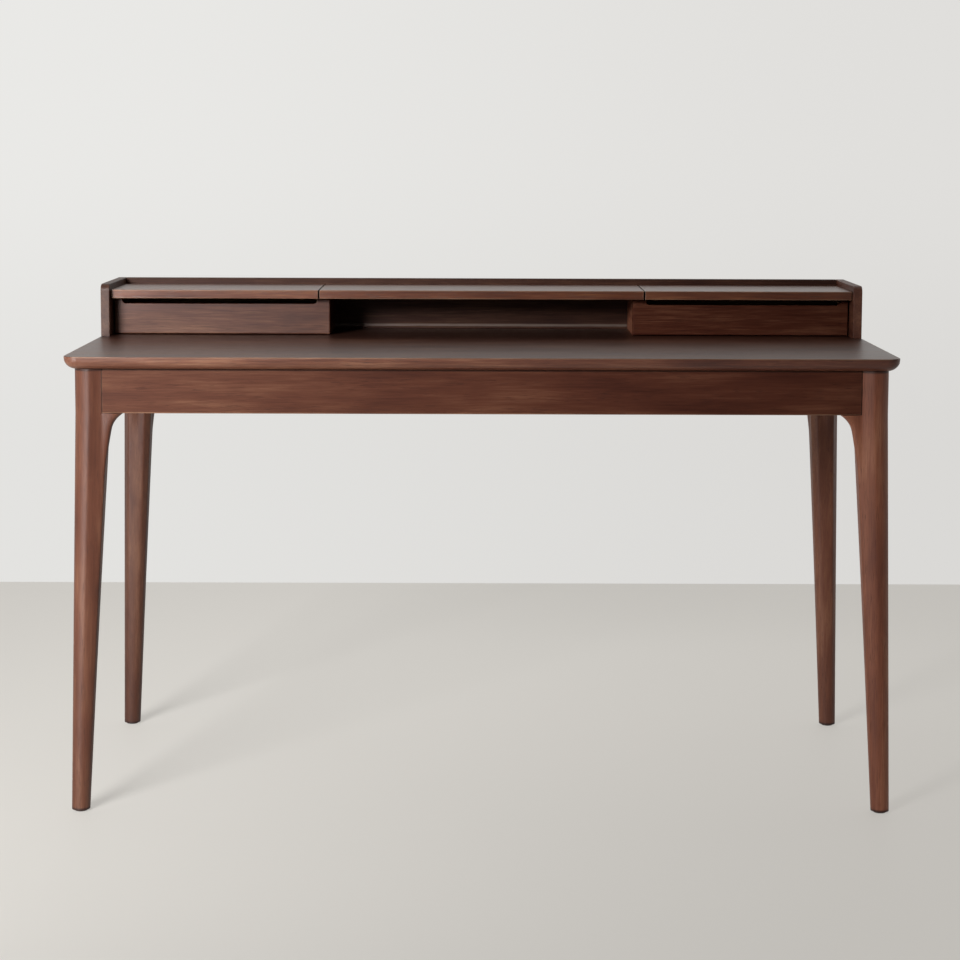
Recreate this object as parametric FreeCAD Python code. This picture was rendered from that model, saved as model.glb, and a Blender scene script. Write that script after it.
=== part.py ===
import FreeCAD, Part

import math
import os

from FreeCAD import Vector

# A writing desk with a low hutch: two drawers, two lids that lift and an open
# cubby between them. Millimetres. X runs along the width, the front faces -Y,
# Z points up, and the origin is on the floor under the middle of the desk.

# Desk top
desk_width = 1400.0
desk_depth = 600.0
desk_height = 778.0
top_thickness = 22.0
top_corner_radius = 24.0
top_rear_corner_radius = 3.0
edge_round_depth = 22.0
edge_round_height = 18.5
top_arris = 1.0

# Legs
leg_inset = 15.0
leg_splay = 12.0
leg_foot_width = 31.0
leg_top_width = 56.2
leg_round_top = 28.0
leg_inner_corner_share = 0.8
leg_outline_points = 60
leg_lower_sections = 14
# The section is a circle at the foot and has its facets from this height up.
leg_facet_full_share = 0.88

# Ears, the flares of each leg towards its two aprons
ear_sweep_reach = 12.5
ear_sweep_drop = 105.0
ear_sweep_power = 1.5
# The sweep ends in a tip that spreads faster, just under the apron.
ear_tip_reach = 15.5
ear_tip_drop = 30.0
ear_tip_power = 2.5
ear_sections = 31
# The direction of an ear's middle, from the apron's run, and its spread each way.
ear_angle = 18.0
ear_spread_angle = 30.0

# Aprons
apron_height = 75.0
apron_thickness = 20.0
apron_recess = 8.0
apron_end_reach = 46.8
apron_arris = 1.5
apron_dowel_radius = 4.0
apron_dowel_length = 36.0
apron_dowel_leg_share = 0.45
apron_dowel_height_shares = (0.28, 0.72)

# Corner blocks and the bolts that pull each leg into its corner
block_height = 60.0
block_thickness = 28.0
block_leg_gap = 1.0
bolt_radius = 4.0
bolt_leg_depth = 42.0
bolt_spare_thread = 3.0
washer_radius = 9.0
washer_thickness = 1.6
nut_flats = 13.0
nut_thickness = 6.5

# Bearer under the middle of the top
bearer_width = 45.0
bearer_height = 26.0
bearer_arris = 1.5

# Steel angles that hold the top to the aprons
angle_leaf = 24.0
angle_width = 20.0
angle_thickness = 2.0
angle_place_shares = (-0.66, -0.3, 0.3, 0.66)
screw_radius = 2.0
screw_head_radius = 4.0
screw_head_height = 2.4
angle_screw_length = 14.0
angle_screw_reach_share = 0.6

# Foot glides
glide_radius = 11.0
glide_thickness = 3.0
glide_pin_radius = 2.0
glide_pin_length = 14.0

# Hutch case
hutch_height = 96.0
hutch_depth = 209.0
side_thickness = 16.0
side_front_radius = 12.0
back_thickness = 15.0
divider_thickness = 18.0
cubby_width = 563.0
board_thickness = 16.0
rim_height = 11.0
board_setback = 14.0
case_arris = 1.2

# Drawer fronts
front_setback = 42.0
front_thickness = 15.0
front_end_gap = 2.5
front_top_gap = 1.5
front_bottom_gap = 1.5
front_arris = 2.2
divider_front_gap = 0.4
pull_depth = 10.0
pull_corner_radius = 8.0
pull_inner_margin = 23.5
pull_outer_margin = 14.5
pull_arris = 1.0

# Drawer boxes
drawer_side_gap = 1.0
drawer_side_thickness = 10.0
drawer_side_height = 47.0
drawer_floor_gap = 4.0
drawer_back_thickness = 8.0
drawer_back_gap = 4.0
drawer_back_rise = 4.5
drawer_bottom_thickness = 4.0
drawer_bottom_lift = 3.0
drawer_groove_depth = 4.0
drawer_travel = 90.0
drawer_dowel_radius = 3.0
drawer_dowel_length = 20.0
drawer_dowel_front_share = 0.45
drawer_dowel_height_shares = (0.3, 0.88)
drawer_pin_radius = 1.5

# Runners that the drawers slide on
runner_reach = 5.5
runner_height = 8.0
runner_lift = 20.0
runner_running_gap = 0.3
runner_side_gap = 0.5
runner_front_setback = 13.0
runner_stop_gap = 1.0
runner_rear_gap = 1.0
runner_screw_radius = 1.5
runner_screw_head_radius = 2.8
runner_screw_length = 14.0
runner_screw_place_shares = (0.12, 0.88)

# Rests that carry the lids, with a stop for the drawer under each
rest_width = 8.0
rest_height = 10.5
rest_front_gap = 1.0
stop_length = 12.0
stop_clearance = 0.3
stop_height = 4.7
pad_radius = 3.2
pad_thickness = 1.2
pad_place_shares = (0.08, 0.9)

# Lids and their pivots
lid_end_gap = 1.0
lid_seam_gap = 2.0
lid_rear_gap = 1.5
lid_rest_gap = 0.3
pivot_radius = 2.5
pivot_clearance = 0.05
pivot_lid_depth = 12.0
pivot_case_depth = 8.0
bush_wall = 1.0

# Dowels and screws of the hutch
dowel_radius = 4.0
dowel_length = 30.0
dowel_top_depth = 9.0
dowel_side_depth = 9.0
side_dowel_place_shares = (0.12, 0.48, 0.84)
side_dowel_height_shares = (0.25, 0.75)
board_dowel_radius = 3.0
board_dowel_length = 24.0
board_dowel_depth = 9.0
board_dowel_place_shares = (0.3, 0.75)
board_rear_dowel_shares = (-0.7, 0.0, 0.7)
hutch_screw_length = 48.0
hutch_screw_sink = 1.0
divider_screw_place_shares = (0.38, 0.7)
back_screw_place_shares = (-0.9, -0.35, 0.35, 0.9)

# Cutting tools run this far past what they cut.
overrun = 5.0

# Places that follow from the sizes
half_width = desk_width / 2
half_depth = desk_depth / 2
top_underside = desk_height - top_thickness
apron_bottom = top_underside - apron_height
leg_outer_x = half_width - leg_inset
leg_outer_y = half_depth - leg_inset
# Each facet of a leg runs out flush with the apron's face.
leg_facet_slope = apron_recess / (apron_end_reach - leg_round_top)
hutch_top = desk_height + hutch_height
hutch_front = half_depth - hutch_depth
back_front = half_depth - back_thickness
board_top = hutch_top - rim_height
board_underside = board_top - board_thickness
board_front = hutch_front + board_setback
side_inner_x = half_width - side_thickness
divider_inner_x = cubby_width / 2
divider_outer_x = divider_inner_x + divider_thickness
front_face = hutch_front + front_setback
front_rear = front_face + front_thickness
front_inner_x = divider_inner_x
front_outer_x = side_inner_x - front_end_gap
front_bottom = desk_height + front_bottom_gap
front_top = board_underside - front_top_gap
box_bottom = desk_height + drawer_floor_gap
box_top = box_bottom + drawer_side_height
box_rear = back_front - drawer_back_gap
box_back_front = box_rear - drawer_back_thickness
box_inner_x = divider_outer_x + drawer_side_gap
box_outer_x = side_inner_x - drawer_side_gap
runner_bottom = box_bottom + runner_lift
runner_top = runner_bottom + runner_height
runner_front = front_rear + runner_front_setback
runner_rear = back_front - runner_rear_gap
rest_top = board_underside - lid_rest_gap - pad_thickness
rest_bottom = rest_top - rest_height
lid_inner_x = divider_outer_x + lid_seam_gap
lid_outer_x = side_inner_x - lid_end_gap
lid_rear = back_front - lid_rear_gap
pivot_z = board_underside + board_thickness / 2
pivot_y = lid_rear - board_thickness / 2
x_axis = Vector(1, 0, 0)
y_axis = Vector(0, 1, 0)
z_axis = Vector(0, 0, 1)


def block(x, y, z):
    """A box between two limits along each axis, given in either order."""
    low = Vector(min(x), min(y), min(z))
    high = Vector(max(x), max(y), max(z))
    size = high - low
    return Part.makeBox(size.x, size.y, size.z, low)


def rod(start, direction, length, radius):
    """A round bar from start, along direction."""
    return Part.makeCylinder(radius, length, start, direction)


def flip_x(shape):
    """The mirror image on the other side of the desk's middle."""
    return shape.mirror(Vector(0, 0, 0), x_axis)


def flip_y(shape):
    """The mirror image at the other of front and back."""
    return shape.mirror(Vector(0, 0, 0), y_axis)


def group(shapes):
    """Separate solids kept together."""
    return Part.makeCompound(shapes)


def runs_along(edge, axis):
    """True for a straight edge along an axis."""
    if edge.Curve.TypeId != "Part::GeomLine":
        return False
    return abs(edge.Curve.Direction.dot(axis)) > 0.999


def ease(shape, radius, wanted=None):
    """Rounds every edge, or those that wanted picks."""
    edges = [edge for edge in shape.Edges if wanted is None or wanted(edge)]
    return shape.makeFillet(radius, edges)


def board(x, y, z, radius):
    """A board with all its arrises eased."""
    return ease(block(x, y, z), radius)


def prism(points, direction):
    """A flat outline of points, pushed along a direction."""
    return Part.Face(Part.makePolygon(points + points[:1])).extrude(direction)


def wood_screw(place, direction, length, radius, head_radius, head_height):
    """A screw whose head ends at place and whose shank runs on along direction."""
    head = Part.makeCone(
        head_radius, radius, head_height, place, direction
    )
    shank_start = place + direction * head_height
    shank = rod(shank_start, direction, length - head_height - head_radius, radius)
    tip_start = shank_start + direction * (length - head_height - head_radius)
    tip = Part.makeCone(radius, radius / 4, head_radius, tip_start, direction)
    return head.fuse([shank, tip]).removeSplitter()


def at_share(low, high, share):
    """The place at a share of the way from low to high."""
    return low + (high - low) * share


def desk_top_shape():
    """The top: rounded front corners and a long round under its front and ends."""
    x, y = half_width, half_depth
    r = top_corner_radius
    rear = top_rear_corner_radius
    low = top_underside
    slab = block((-x, x), (-y, y), (low, desk_height))

    def front_corner(edge):
        return runs_along(edge, z_axis) and edge.CenterOfMass.y < 0

    def rear_corner(edge):
        return runs_along(edge, z_axis) and edge.CenterOfMass.y > y - rear

    slab = ease(slab, r, front_corner)
    slab = ease(slab, rear, rear_corner)
    turn = r * (1 - math.sqrt(0.5))
    path = Part.Wire(
        [
            Part.makeLine(Vector(-x, y + overrun, low), Vector(-x, r - y, low)),
            Part.Arc(
                Vector(-x, r - y, low), Vector(turn - x, turn - y, low), Vector(r - x, -y, low)
            ).toShape(),
            Part.makeLine(Vector(r - x, -y, low), Vector(x - r, -y, low)),
            Part.Arc(
                Vector(x - r, -y, low), Vector(x - turn, turn - y, low), Vector(x, r - y, low)
            ).toShape(),
            Part.makeLine(Vector(x, r - y, low), Vector(x, y + overrun, low)),
        ]
    )
    slab = slab.cut(edge_cutter(path, Vector(-x, y + overrun, low)))
    slab = ease(slab, top_arris, lambda edge: edge.BoundBox.ZMin > desk_height - top_arris)
    # The hutch's front line divides the top, so that the open part has a face of its own.
    rear_part = block((-x - overrun, x + overrun), (hutch_front, y + overrun), (low, desk_height))
    return slab.cut(rear_part).fuse(slab.common(rear_part))


def edge_cutter(path, start):
    """What the round under the top's edge takes away, along the path."""
    bend = 4 * (math.sqrt(2) - 1) / 3
    depth, height = edge_round_depth, edge_round_height
    curve = Part.BezierCurve()
    curve.setPoles(
        [
            start + Vector(0, 0, height),
            start + Vector(0, 0, height * (1 - bend)),
            start + Vector(depth * (1 - bend), 0, 0),
            start + Vector(depth, 0, 0),
        ]
    )
    corners = [
        start + Vector(depth, 0, 0),
        start + Vector(depth, 0, -overrun),
        start + Vector(-overrun, 0, -overrun),
        start + Vector(-overrun, 0, height),
        start + Vector(0, 0, height),
    ]
    outline = Part.Wire([curve.toShape()] + Part.makePolygon(corners).Edges)
    pipe = Part.BRepOffsetAPI.MakePipeShell(path)
    pipe.setTransitionMode(1)
    pipe.add(outline)
    pipe.build()
    pipe.makeSolid()
    return pipe.shape()


def ear_bump(angle, middle):
    """How much of an ear's reach a direction has: 1 in its middle, 0 outside it."""
    spread = math.radians(ear_spread_angle)
    off = (angle - middle + math.pi) % (2 * math.pi) - math.pi
    return max(0.0, 1.0 - (off / spread) ** 2) ** 2


def ear_reach(below):
    """How far an ear stands out from the leg at a distance below the apron."""
    sweep = max(0.0, 1.0 - below / ear_sweep_drop) ** ear_sweep_power
    tip = max(0.0, 1.0 - below / ear_tip_drop) ** ear_tip_power
    return ear_sweep_reach * sweep + ear_tip_reach * tip


def leg_outline(z):
    """A section of the front left leg: a quarter round at its outer corner, a
    facet that falls back towards each apron, a blunt inner corner and two ears."""
    height_share = (z - glide_thickness) / (apron_bottom - glide_thickness)
    width = at_share(leg_foot_width, leg_top_width, height_share)
    roundness = max(0.0, 1.0 - height_share / leg_facet_full_share)
    flare = ear_reach(apron_bottom - z)
    shift = -leg_splay * (1.0 - height_share)
    half = width / 2
    quarter = at_share(leg_foot_width / 2, leg_round_top, height_share)
    slope = leg_facet_slope
    offset = half - quarter
    toward_x = -math.radians(ear_angle)
    toward_y = math.pi / 2 - toward_x
    points = []
    for index in range(leg_outline_points):
        angle = 2 * math.pi * (index + 0.5) / leg_outline_points
        c, s = math.cos(angle), math.sin(angle)
        reaches = [half / abs(c), half / abs(s)]
        if c < 0 and s < 0:
            along = offset * (c + s)
            reaches.append(-along + math.sqrt(along**2 - 2 * offset**2 + quarter**2))
        for forward, sideways in ((s, c), (c, s)):
            fall = sideways * slope - forward
            if fall > 0:
                reaches.append((half - offset * slope) / fall)
        if c + s > 0:
            reaches.append(leg_inner_corner_share * width / (c + s))
        reach = at_share(min(reaches), half, roundness)
        reach += flare * (ear_bump(angle, toward_x) + ear_bump(angle, toward_y))
        points.append(Vector(half + reach * c + shift, half + reach * s + shift, z))
    curve = Part.BSplineCurve()
    curve.interpolate(Points=points, PeriodicFlag=True)
    return Part.Wire(curve.toShape())


def leg_loft(low, high, count):
    """The leg between two heights, through evenly spaced sections."""
    heights = [at_share(low, high, index / (count - 1)) for index in range(count)]
    return Part.makeLoft([leg_outline(z) for z in heights], True, False)


def post_shape():
    """The leg's top, housed for the ends of two aprons."""
    ears = leg_outline(apron_bottom)
    post = Part.Face(ears).extrude(Vector(0, 0, apron_height))
    rear_of_apron = apron_recess + apron_thickness
    past = leg_top_width + ear_reach(0.0) + overrun
    housing = block(
        (apron_end_reach, past),
        (-overrun, rear_of_apron),
        (apron_bottom, top_underside),
    )
    behind = block(
        (leg_top_width, past), (rear_of_apron, past), (apron_bottom, top_underside)
    )
    diagonal = Vector(1, -1, 0)
    tools = [housing, behind]
    tools += [tool.mirror(Vector(0, 0, 0), diagonal) for tool in tools]
    return post.cut(tools)


def front_left_leg_shape():
    """A leg that tapers to a round foot and flares under its two aprons."""
    ear_start = apron_bottom - ear_sweep_drop
    lower = leg_loft(glide_thickness, ear_start, leg_lower_sections)
    upper = leg_loft(ear_start, apron_bottom, ear_sections)
    leg = lower.fuse([upper, post_shape()]).removeSplitter()
    leg.translate(Vector(-leg_outer_x, -leg_outer_y, 0))
    return leg


def at_corners(shape):
    """The front left shape and its mirror images, by corner name."""
    return {
        "front_left": shape,
        "front_right": flip_x(shape),
        "rear_left": flip_y(shape),
        "rear_right": flip_x(flip_y(shape)),
    }


def front_apron_shape():
    """The long rail under the front of the top."""
    end = leg_outer_x - apron_end_reach
    face = -leg_outer_y + apron_recess
    return board(
        (-end, end), (face, face + apron_thickness), (apron_bottom, top_underside), apron_arris
    )


def left_apron_shape():
    """The short rail under the left end of the top."""
    end = leg_outer_y - apron_end_reach
    face = -leg_outer_x + apron_recess
    return board(
        (face, face + apron_thickness), (-end, end), (apron_bottom, top_underside), apron_arris
    )


def apron_joint_dowels():
    """Two dowels from each end of each apron into its leg, at the front left."""
    middle = apron_recess + apron_thickness / 2
    start = apron_end_reach - apron_dowel_length * apron_dowel_leg_share
    dowels = []
    for share in apron_dowel_height_shares:
        z = at_share(apron_bottom, top_underside, share)
        x, y = -leg_outer_x, -leg_outer_y
        along = rod(Vector(x + start, y + middle, z), x_axis, apron_dowel_length, apron_dowel_radius)
        # The side dowels sit one diameter lower, so that the pairs pass in the leg.
        side_z = z - 2 * apron_dowel_radius
        across = rod(
            Vector(x + middle, y + start, side_z), y_axis, apron_dowel_length, apron_dowel_radius
        )
        dowels += [along, across]
    return dowels


def corner_block_shape():
    """A brace across the front left corner, between two aprons."""
    inside = apron_recess + apron_thickness
    leg_reach = leg_top_width + leg_inner_corner_share * leg_top_width + block_leg_gap
    near = leg_reach - inside
    far = near + block_thickness * math.sqrt(2)
    z = at_share(apron_bottom, top_underside, 0.5) - block_height / 2
    points = [
        Vector(near, inside, z),
        Vector(far, inside, z),
        Vector(inside, far, z),
        Vector(inside, near, z),
    ]
    shape = prism(points, Vector(0, 0, block_height))
    shape.translate(Vector(-leg_outer_x, -leg_outer_y, 0))
    return shape


def corner_axis():
    """The direction from the leg into the room, along the corner bolt."""
    return Vector(1, 1, 0).normalize()


def corner_place(distance):
    """A point on the corner bolt's line, at a distance from the leg's corner."""
    z = at_share(apron_bottom, top_underside, 0.5)
    return Vector(-leg_outer_x, -leg_outer_y, z) + corner_axis() * distance


def block_inner_distance():
    """How far the block's inner face lies from the leg's outer corner."""
    leg_reach = leg_top_width + leg_inner_corner_share * leg_top_width + block_leg_gap
    return leg_reach / math.sqrt(2) + block_thickness


def corner_bolt_shape():
    """The threaded bar from the leg through its block."""
    start = block_inner_distance() - block_thickness - bolt_leg_depth
    end = block_inner_distance() + washer_thickness + nut_thickness + bolt_spare_thread
    return rod(corner_place(start), corner_axis(), end - start, bolt_radius)


def corner_washer_shape():
    """The washer between nut and block."""
    place = corner_place(block_inner_distance())
    disc = rod(place, corner_axis(), washer_thickness, washer_radius)
    return disc.cut(rod(place, corner_axis(), washer_thickness, bolt_radius))


def corner_nut_shape():
    """The hexagon nut on the bolt's end."""
    place = corner_place(block_inner_distance() + washer_thickness)
    corner = nut_flats / math.sqrt(3)
    across = Vector(1, -1, 0).normalize()
    points = []
    for index in range(6):
        angle = math.radians(60 * index)
        points.append(place + across * corner * math.cos(angle) + z_axis * corner * math.sin(angle))
    nut = prism(points, corner_axis() * nut_thickness)
    return nut.cut(rod(place, corner_axis(), nut_thickness, bolt_radius))


def bearer_shape():
    """The cross rail that stiffens the top between front and rear aprons."""
    reach = leg_outer_y - apron_recess - apron_thickness
    half = bearer_width / 2
    return board(
        (-half, half), (-reach, reach), (top_underside - bearer_height, top_underside), bearer_arris
    )


def bearer_dowels():
    """A pair of dowels in the bearer's front end."""
    reach = leg_outer_y - apron_recess - apron_thickness
    z = top_underside - bearer_height / 2
    start = -reach - apron_dowel_length * apron_dowel_leg_share
    return [
        rod(Vector(side * bearer_width / 4, start, z), y_axis, apron_dowel_length, apron_dowel_radius)
        for side in (-1, 1)
    ]


def angle_and_screws(x):
    """One steel angle inside the front apron at x, and its two screws."""
    face = -leg_outer_y + apron_recess + apron_thickness
    half = angle_width / 2
    upright = block(
        (x - half, x + half),
        (face, face + angle_thickness),
        (top_underside - angle_leaf, top_underside),
    )
    flat = block(
        (x - half, x + half),
        (face, face + angle_leaf),
        (top_underside - angle_thickness, top_underside),
    )
    angle = upright.fuse(flat).removeSplitter()
    reach = angle_leaf * angle_screw_reach_share
    up = wood_screw(
        Vector(x, face + reach, top_underside - angle_thickness - screw_head_height),
        z_axis,
        angle_screw_length,
        screw_radius,
        screw_head_radius,
        screw_head_height,
    )
    through = wood_screw(
        Vector(x, face + angle_thickness + screw_head_height, top_underside - reach),
        -y_axis,
        angle_screw_length,
        screw_radius,
        screw_head_radius,
        screw_head_height,
    )
    return angle, [up, through]


def glide_shape():
    """A nylon disc with a pin, under the front left foot."""
    centre = leg_foot_width / 2 - leg_splay
    place = Vector(-leg_outer_x + centre, -leg_outer_y + centre, 0)
    disc = rod(place, z_axis, glide_thickness, glide_radius)
    disc = ease(disc, glide_thickness / 3, lambda edge: edge.CenterOfMass.z < glide_thickness / 2
                and edge.Curve.TypeId == "Part::GeomCircle")
    pin = rod(place + z_axis * glide_thickness, z_axis, glide_pin_length, glide_pin_radius)
    return disc.fuse(pin).removeSplitter()


def side_panel_shape():
    """The right end of the hutch, its top front corner rounded."""
    panel = block(
        (side_inner_x, half_width), (hutch_front, half_depth), (desk_height, hutch_top)
    )

    def top_front(edge):
        middle = edge.CenterOfMass
        return (
            runs_along(edge, x_axis)
            and middle.y < hutch_front + case_arris
            and middle.z > hutch_top - case_arris
        )

    panel = ease(panel, side_front_radius, top_front)

    def shown(edge):
        return edge.BoundBox.ZMax > desk_height + case_arris

    return ease(panel, case_arris, shown)


def back_panel_shape():
    """The hutch's back, whose top is the rail behind the lids."""
    return board(
        (-side_inner_x, side_inner_x), (back_front, half_depth), (desk_height, hutch_top), case_arris
    )


def divider_shape():
    """The upright between the cubby and the right drawer."""
    return board(
        (divider_inner_x, divider_outer_x),
        (front_rear + divider_front_gap, back_front),
        (desk_height, board_underside),
        case_arris,
    )


def centre_board_shape():
    """The fixed board over the cubby."""
    return board(
        (-divider_outer_x, divider_outer_x),
        (board_front, back_front),
        (board_underside, board_top),
        case_arris,
    )


def lid_shape():
    """The right lid, its rear edge rounded about the pivot."""
    lid = block((lid_inner_x, lid_outer_x), (board_front, pivot_y), (board_underside, board_top))
    nose = rod(
        Vector(lid_inner_x, pivot_y, pivot_z), x_axis, lid_outer_x - lid_inner_x, board_thickness / 2
    )

    def not_rear(edge):
        return edge.BoundBox.YMin < pivot_y - case_arris

    lid = lid.fuse(nose).removeSplitter()

    def front_and_ends(edge):
        middle = edge.CenterOfMass
        return not_rear(edge) and middle.y < pivot_y - case_arris

    return ease(lid, case_arris, front_and_ends)


def pivot_pins():
    """The right lid's pins, one in each end."""
    outer_start = lid_outer_x - pivot_lid_depth
    outer_length = pivot_lid_depth + lid_end_gap + pivot_case_depth
    inner_start = lid_inner_x + pivot_lid_depth
    inner_length = pivot_lid_depth + lid_seam_gap + pivot_case_depth
    return [
        rod(Vector(outer_start, pivot_y, pivot_z), x_axis, outer_length, pivot_radius),
        rod(Vector(inner_start, pivot_y, pivot_z), -x_axis, inner_length, pivot_radius),
    ]


def bush_holes():
    """What the right lid's bushes fill in the side panel and the centre board."""
    radius = pivot_radius + pivot_clearance + bush_wall
    return [
        rod(Vector(side_inner_x, pivot_y, pivot_z), x_axis, pivot_case_depth, radius),
        rod(Vector(divider_outer_x, pivot_y, pivot_z), -x_axis, pivot_case_depth, radius),
    ]


def bushes():
    """The right lid's two bushes, open at both ends."""
    bore = rod(
        Vector(divider_inner_x, pivot_y, pivot_z),
        x_axis,
        half_width - divider_inner_x,
        pivot_radius + pivot_clearance,
    )
    return [hole.cut(bore) for hole in bush_holes()]


def rest_shape(wall_x, inward):
    """A strip on a wall that carries one end of the right lid."""
    return block(
        (wall_x, wall_x + inward * rest_width),
        (front_rear + rest_front_gap, back_front),
        (rest_bottom, rest_top),
    )


def stop_shape(wall_x, inward):
    """A block under a rest that meets the drawer's back when it is right out."""
    stop_rear = box_back_front - drawer_travel - stop_clearance
    return block(
        (wall_x, wall_x + inward * rest_width),
        (stop_rear - stop_length, stop_rear),
        (rest_bottom - stop_height, rest_bottom),
    )


def rest_pads(wall_x, inward):
    """Felt dots on a rest."""
    x = wall_x + inward * rest_width / 2
    low, high = front_rear + rest_front_gap, back_front
    return [
        rod(Vector(x, at_share(low, high, share), rest_top), z_axis, pad_thickness, pad_radius)
        for share in pad_place_shares
    ]


def runner_shape(wall_x, inward):
    """A hardwood strip that one side of the right drawer slides on."""
    return block(
        (wall_x, wall_x + inward * runner_reach),
        (runner_front, runner_rear),
        (runner_bottom, runner_top),
    )


def runner_screws(wall_x, inward):
    """Two screws through a runner into its wall, their heads flush."""
    z = at_share(runner_bottom, runner_top, 0.5)
    direction = x_axis * -inward
    start_x = wall_x + inward * runner_reach
    head_height = runner_screw_head_radius - runner_screw_radius
    return [
        wood_screw(
            Vector(start_x, at_share(runner_front, runner_rear, share), z),
            direction,
            runner_screw_length,
            runner_screw_radius,
            runner_screw_head_radius,
            head_height,
        )
        for share in runner_screw_place_shares
    ]


def drawer_front_shape():
    """The right drawer's front, with the finger pull cut in its top edge."""
    panel = block(
        (front_inner_x, front_outer_x), (front_face, front_rear), (front_bottom, front_top)
    )

    def face_edge(edge):
        return edge.BoundBox.YMax < front_rear - front_arris

    panel = ease(panel, front_arris, face_edge)
    x = (front_inner_x + pull_inner_margin, front_outer_x - pull_outer_margin)
    low = front_top - pull_depth
    cutter = block(x, (front_face - overrun, front_rear + overrun), (low, front_top + overrun))

    def bottom_corner(edge):
        return runs_along(edge, y_axis) and edge.CenterOfMass.z < low + pull_arris

    panel = panel.cut(ease(cutter, pull_corner_radius, bottom_corner))

    def pull_edge(edge):
        middle = edge.CenterOfMass
        inside = x[0] - pull_arris < middle.x < x[1] + pull_arris
        at_face = edge.BoundBox.YMax < front_face + pull_arris
        high = front_top - front_arris > middle.z > low - pull_arris
        return inside and at_face and high

    return ease(panel, pull_arris, pull_edge)


def runner_groove(side_x, inward):
    """The slot for a runner in a drawer side whose outer face is at side_x."""
    depth = runner_reach - drawer_side_gap + runner_side_gap
    return block(
        (side_x - inward * overrun, side_x + inward * depth),
        (runner_front - runner_stop_gap, box_rear + overrun),
        (runner_bottom - runner_running_gap, runner_top + runner_running_gap),
    )


def bottom_shape():
    """The right drawer's bottom panel, in grooves on all four sides."""
    inner = box_inner_x + drawer_side_thickness - drawer_groove_depth
    outer = box_outer_x - drawer_side_thickness + drawer_groove_depth
    low = box_bottom + drawer_bottom_lift
    return block(
        (inner, outer),
        (front_rear - drawer_groove_depth, box_back_front + drawer_groove_depth),
        (low, low + drawer_bottom_thickness),
    )


def drawer_side_shape(side_x, inward):
    """One side of the right drawer's box."""
    side = block(
        (side_x, side_x + inward * drawer_side_thickness),
        (front_rear, box_back_front),
        (box_bottom, box_top),
    )
    return side.cut([runner_groove(side_x, inward), bottom_shape()])


def drawer_back_shape():
    """The back of the right drawer's box, tall enough to meet the stops."""
    back = block(
        (box_inner_x, box_outer_x),
        (box_back_front, box_rear),
        (box_bottom, box_top + drawer_back_rise),
    )
    grooves = [runner_groove(box_inner_x, 1), runner_groove(box_outer_x, -1), bottom_shape()]
    return back.cut(grooves)


def drawer_joint_pins():
    """Dowels from the sides into the front, and pins from the back into the sides."""
    pins = []
    for side_x, inward in ((box_inner_x, 1), (box_outer_x, -1)):
        x = side_x + inward * drawer_side_thickness / 2
        for share in drawer_dowel_height_shares:
            z = at_share(box_bottom, box_top, share)
            start = front_rear - drawer_dowel_length * drawer_dowel_front_share
            pins.append(rod(Vector(x, start, z), y_axis, drawer_dowel_length, drawer_dowel_radius))
            pins.append(rod(Vector(x, box_rear, z), -y_axis, drawer_dowel_length, drawer_pin_radius))
    return pins


def side_panel_dowels():
    """Dowels from the right side panel into the desk top and the back panel."""
    middle_x = (side_inner_x + half_width) / 2
    dowels = []
    for share in side_dowel_place_shares:
        y = at_share(hutch_front, half_depth, share)
        start = Vector(middle_x, y, desk_height - dowel_top_depth)
        dowels.append(rod(start, z_axis, dowel_length, dowel_radius))
    middle_y = (back_front + half_depth) / 2
    for share in side_dowel_height_shares:
        start = Vector(side_inner_x + dowel_side_depth, middle_y, at_share(desk_height, hutch_top, share))
        dowels.append(rod(start, -x_axis, dowel_length, dowel_radius))
    return dowels


def board_dowels():
    """Dowels from the centre board into the right divider."""
    middle_x = (divider_inner_x + divider_outer_x) / 2
    low, high = front_rear, back_front
    return [
        rod(
            Vector(middle_x, at_share(low, high, share), board_underside + board_dowel_depth),
            -z_axis,
            board_dowel_length,
            board_dowel_radius,
        )
        for share in board_dowel_place_shares
    ]


def board_rear_dowels():
    """Dowels from the centre board into the back panel."""
    return [
        rod(
            Vector(divider_inner_x * share, back_front + board_dowel_depth, pivot_z),
            -y_axis,
            board_dowel_length,
            board_dowel_radius,
        )
        for share in board_rear_dowel_shares
    ]


def hutch_screw(x, y):
    """A screw up through the desk top, its head sunk in the underside."""
    return wood_screw(
        Vector(x, y, top_underside + hutch_screw_sink),
        z_axis,
        hutch_screw_length,
        screw_radius,
        screw_head_radius,
        screw_head_height,
    )


def divider_screws():
    """Two screws up into the right divider."""
    middle_x = (divider_inner_x + divider_outer_x) / 2
    return [
        hutch_screw(middle_x, at_share(front_rear, back_front, share))
        for share in divider_screw_place_shares
    ]


def back_screws():
    """Screws up into the back panel."""
    middle_y = (back_front + half_depth) / 2
    return [hutch_screw(side_inner_x * share, middle_y) for share in back_screw_place_shares]


def screw_pocket(screw):
    """A screw's own space and the sunk hole below its head."""
    box = screw.BoundBox
    place = Vector((box.XMin + box.XMax) / 2, (box.YMin + box.YMax) / 2, top_underside - overrun)
    return [screw, rod(place, z_axis, overrun + hutch_screw_sink, screw_head_radius)]


def both_sides(shapes):
    """Right-hand shapes with their left-hand mirror images."""
    return shapes + [flip_x(shape) for shape in shapes]


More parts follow.
